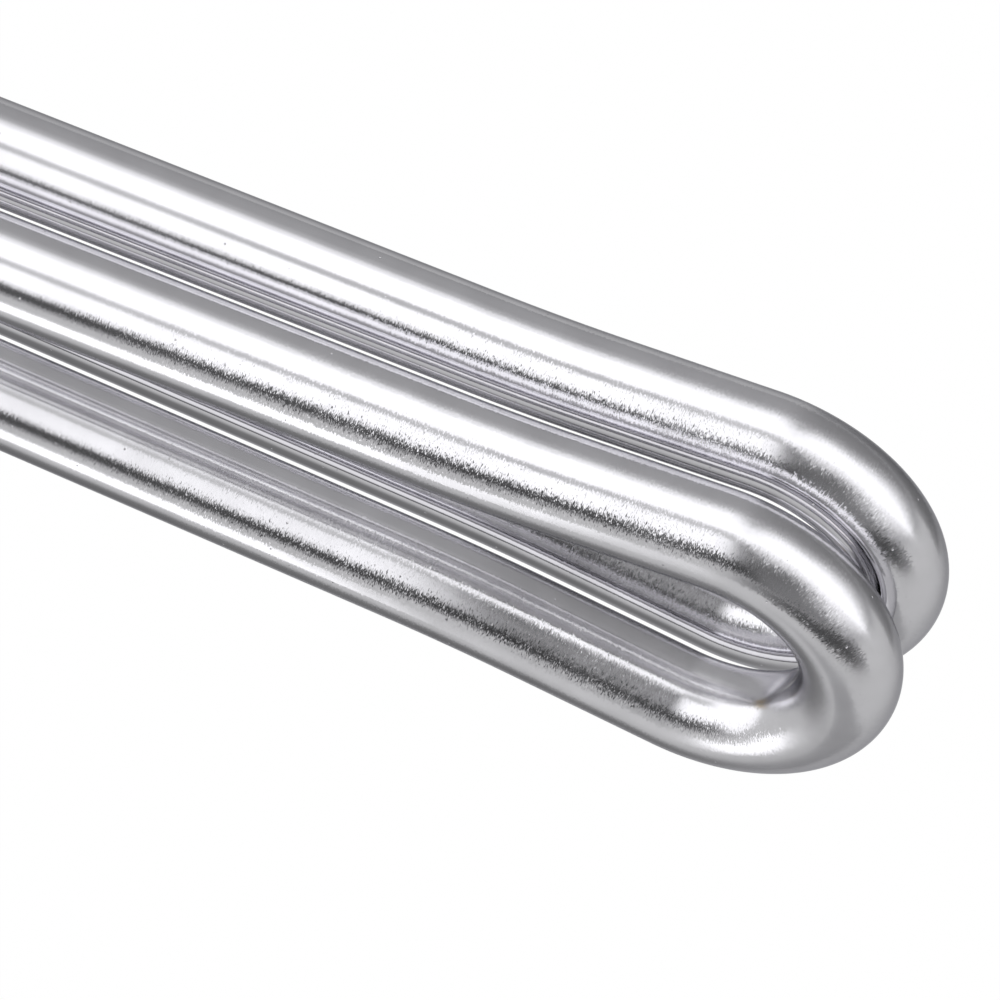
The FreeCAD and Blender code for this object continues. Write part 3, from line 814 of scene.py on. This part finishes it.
# Light of the studio by direction. Each row is a direction in degrees, from +Y over the top towards
# -Y, and the level there in four columns from left to right: over the legs, just right of the
# middle, to the right, and at the right end. SKY_COLUMNS_AT says where each passes into the next.
SKY_COLUMNS_AT = ((-0.08, 0.04), (0.09, 0.22), (0.50, 0.90))
SKY = (
    (0, 0.36, 0.24, 0.20, 0.24),
    (32, 0.36, 0.28, 0.24, 0.70),
    (45, 0.46, 0.30, 0.34, 1.05),
    (56, 0.92, 0.34, 0.60, 1.28),
    (66, 1.28, 0.50, 1.10, 1.28),
    (78, 1.28, 1.05, 1.28, 1.28),
    (100, 1.28, 1.28, 1.28, 1.28),
    (106, 0.56, 1.20, 1.05, 1.28),
    (112, 0.54, 0.36, 0.86, 1.28),
    (119, 1.28, 0.08, 0.66, 1.20),
    (127, 1.28, 0.12, 0.30, 1.10),
    (136, 1.28, 0.18, 0.16, 0.95),
    (145, 1.28, 0.09, 0.13, 0.92),
    (153, 0.80, 0.05, 0.15, 0.85),
    (160, 0.08, 0.03, 0.18, 0.70),
    (171, 0.06, 0.03, 0.19, 0.46),
    (179, 0.38, 0.24, 0.16, 0.34),
)
SKY_BRIGHTEST = 1.28
SKY_TINT = (0.986, 0.985, 1.0)
LEFT_WALL_FROM = (-0.45, -0.62)
LEFT_WALL_IN_FRONT = (0.1, -0.1)
HORIZON_LEVEL = 0.34
HORIZON_TO = (0.0, 0.04)
LOW_SKY = 0.5
LOW_SKY_TO = (-0.25, -0.02)


def sky_place(degrees):
    """Place on the sky ramp, which runs once round the part's axis, of a direction over the object."""
    return (90 - degrees) / 360 + 0.5


def sky_color(level):
    """Colour of the sky at a level, as a share of the brightest."""
    return tuple(level / SKY_BRIGHTEST * channel for channel in SKY_TINT) + (1.0,)


def studio_light():
    """Soft overhead light, grey behind and dark low in front, as a sky that every ray sees."""
    world = bpy.data.worlds.new("studio")
    bpy.context.scene.world = world
    world.use_nodes = True
    nodes = Nodes(world.node_tree)
    x, y, z = nodes.parts(nodes.add("ShaderNodeTexCoord").outputs["Generated"])
    place = nodes.total(nodes.maths("DIVIDE", nodes.maths("ARCTAN2", y, z), 2 * math.pi), 0.5)
    first, *others = (
        nodes.ramp(place, [(sky_place(degrees), sky_color(levels[column])) for degrees, *levels in SKY])
        for column in range(4)
    )
    sky = first
    for ends, column in zip(SKY_COLUMNS_AT, others):
        sky = nodes.mix(nodes.ease(x, *ends), sky, column)
    far_left = nodes.product(nodes.ease(x, *LEFT_WALL_FROM), nodes.ease(y, *LEFT_WALL_IN_FRONT))
    sky = nodes.mix(far_left, sky, sky_color(SKY_BRIGHTEST))
    sky = nodes.mix(nodes.ease(z, *HORIZON_TO), sky_color(HORIZON_LEVEL), sky)
    sky = nodes.mix(nodes.ease(z, *LOW_SKY_TO), sky_color(LOW_SKY), sky)
    background = nodes.add("ShaderNodeBackground")
    nodes.put(background.inputs["Color"], sky)
    nodes.put(background.inputs["Strength"], SKY_BRIGHTEST)
    output = nodes.add("ShaderNodeOutputWorld")
    nodes.link(background.outputs[0], output.inputs["Surface"])


# Low soft box in front of the legs, with its back away from them and down: a light band below their
# dark one
LOW_BOX_LEVEL = 0.95
LOW_BOX_SIZE_M = (0.25, 0.17)
LOW_BOX_AT_M = (-0.028, -0.34, -0.205)
LOW_BOX_BACK = (0, -1, -0.3)


def low_box():
    """The soft box as an area light that the camera doesn't see."""
    data = bpy.data.lights.new("low_box", "AREA")
    data.shape = "RECTANGLE"
    data.size, data.size_y = LOW_BOX_SIZE_M
    data.energy = LOW_BOX_LEVEL * math.pi * data.size * data.size_y
    data.color = SKY_TINT
    piece = bpy.data.objects.new("low_box", data)
    bpy.context.scene.collection.objects.link(piece)
    piece.location = LOW_BOX_AT_M
    piece.rotation_euler = Vector(LOW_BOX_BACK).to_track_quat("Z", "Y").to_euler()
    piece.visible_camera = False


# Cards low to the right: the dark streaks round the outside of the bends, from in front and behind,
# and the grey of their undersides, from below. Each row is a name, the level in its middle, its
# place and size in metres, and the way it faces. It runs out to the edge's level at both ends.
CARD_EDGE = 0.42
CARD_FADE = (0.18, 0.48)
CARD_ROUGHNESS = 0.9
CARDS = (
    ("card_in_front", 0.07, (0.46, -0.44, -0.11), (0.72, 0.20), (-0.55, 0.83, 0.2)),
    ("card_behind", 0.26, (0.42, 0.50, -0.16), (0.60, 0.30), (-0.45, -0.89, 0.3)),
    ("card_below", 0.38, (0.235, -0.155, -0.22), (0.13, 0.23), (0, 0, 1)),
)


def dark_card(name, darkest, place, size, facing):
    """One card, which the tubes mirror and the camera doesn't see."""
    mesh = bmesh.new()
    bmesh.ops.create_grid(mesh, x_segments=1, y_segments=1, size=0.5)
    piece = from_mesh(name, mesh)
    piece.location = place
    piece.scale = (*size, 1)
    piece.rotation_euler = Vector(facing).to_track_quat("Z", "Y").to_euler()
    material, nodes, shader = new_material(name, Roughness=CARD_ROUGHNESS)
    along = nodes.parts(nodes.add("ShaderNodeTexCoord").outputs["Object"])[0]
    level = nodes.ease(nodes.maths("ABSOLUTE", along), *CARD_FADE, darkest, CARD_EDGE)
    nodes.put(shader.inputs["Base Color"], level)
    dress(piece, material)
    piece.visible_camera = False


# Camera: aimed at a point between the legs of the front hairpin, near the bend
CAMERA_AIM = (146.2, -4.9, 4.9)
CAMERA_DISTANCE_M = 1.07
CAMERA_AZIMUTH = math.radians(10.83)
CAMERA_ELEVATION = math.radians(56.61)
CAMERA_ROLL = math.radians(13.37)
CAMERA_LENS = 504.0
CAMERA_SENSOR = 36.0
CAMERA_CLIP_M = (0.05, 50.0)


def camera():
    """The camera of the picture."""
    data = bpy.data.cameras.new("camera")
    piece = bpy.data.objects.new("camera", data)
    bpy.context.scene.collection.objects.link(piece)
    bpy.context.scene.camera = piece
    data.sensor_width = CAMERA_SENSOR
    data.lens = CAMERA_LENS
    data.clip_start, data.clip_end = CAMERA_CLIP_M
    turn = (
        Matrix.Rotation(CAMERA_AZIMUTH, 4, "Z")
        @ Matrix.Rotation(math.pi / 2 - CAMERA_ELEVATION, 4, "X")
        @ Matrix.Rotation(CAMERA_ROLL, 4, "Z")
    )
    back = turn.to_3x3() @ Vector((0, 0, 1))
    piece.matrix_world = Matrix.Translation(Vector(CAMERA_AIM) * MM + back * CAMERA_DISTANCE_M) @ turn


floor()
studio_light()
low_box()
for card in CARDS:
    dark_card(*card)
camera()
bpy.context.scene.view_settings.view_transform = "Standard"
